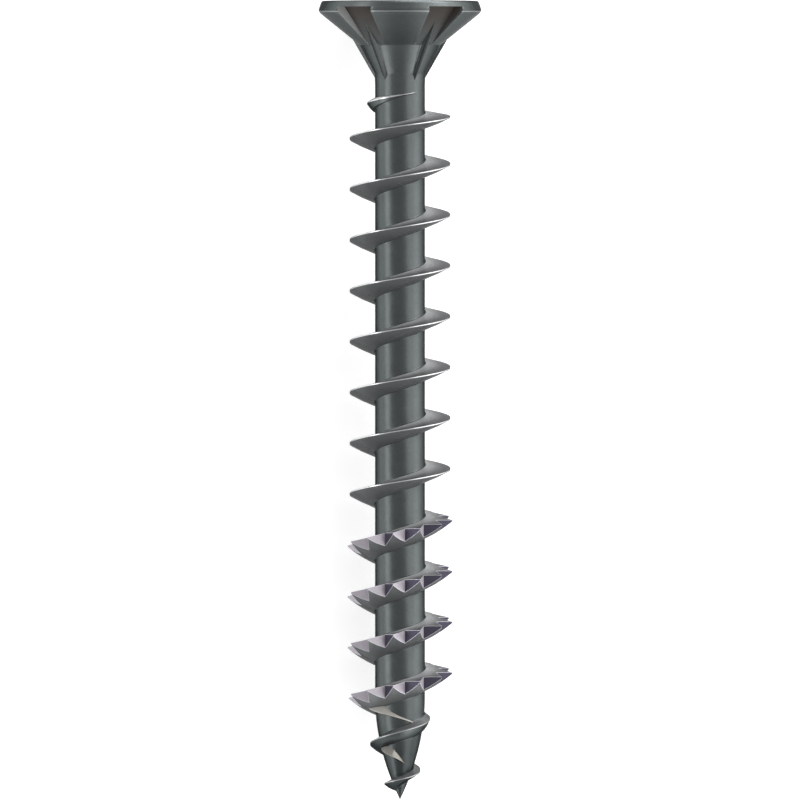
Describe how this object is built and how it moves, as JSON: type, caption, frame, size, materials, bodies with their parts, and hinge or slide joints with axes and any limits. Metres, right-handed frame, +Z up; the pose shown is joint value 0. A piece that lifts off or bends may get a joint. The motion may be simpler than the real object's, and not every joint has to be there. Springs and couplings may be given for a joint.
{
  "type": "multi-purpose screw",
  "caption": "Countersunk multi-purpose screw with a six-lobe drive recess, ribbed and pocketed head underside, coarse deep thread with saw-notched lower turns, and a sharp self-starting point.",
  "frame": {"origin": "centre of the bounding box, at the surface the screw lies on", "axes": "+Y along the length from the point towards the head, level with the surface (the screw's own axis rises 2.61 degrees towards the head, as it rests); +Z up; the side seen in the picture faces 7.5 degrees from +Z towards -X"},
  "size_m": [0.0082, 0.0402, 0.0081],
  "materials": {
    "steel": "satin grey coating on hardened steel"
  },
  "bodies": {
    "root": {"screw": "steel"}
  },
  "joints": []
}
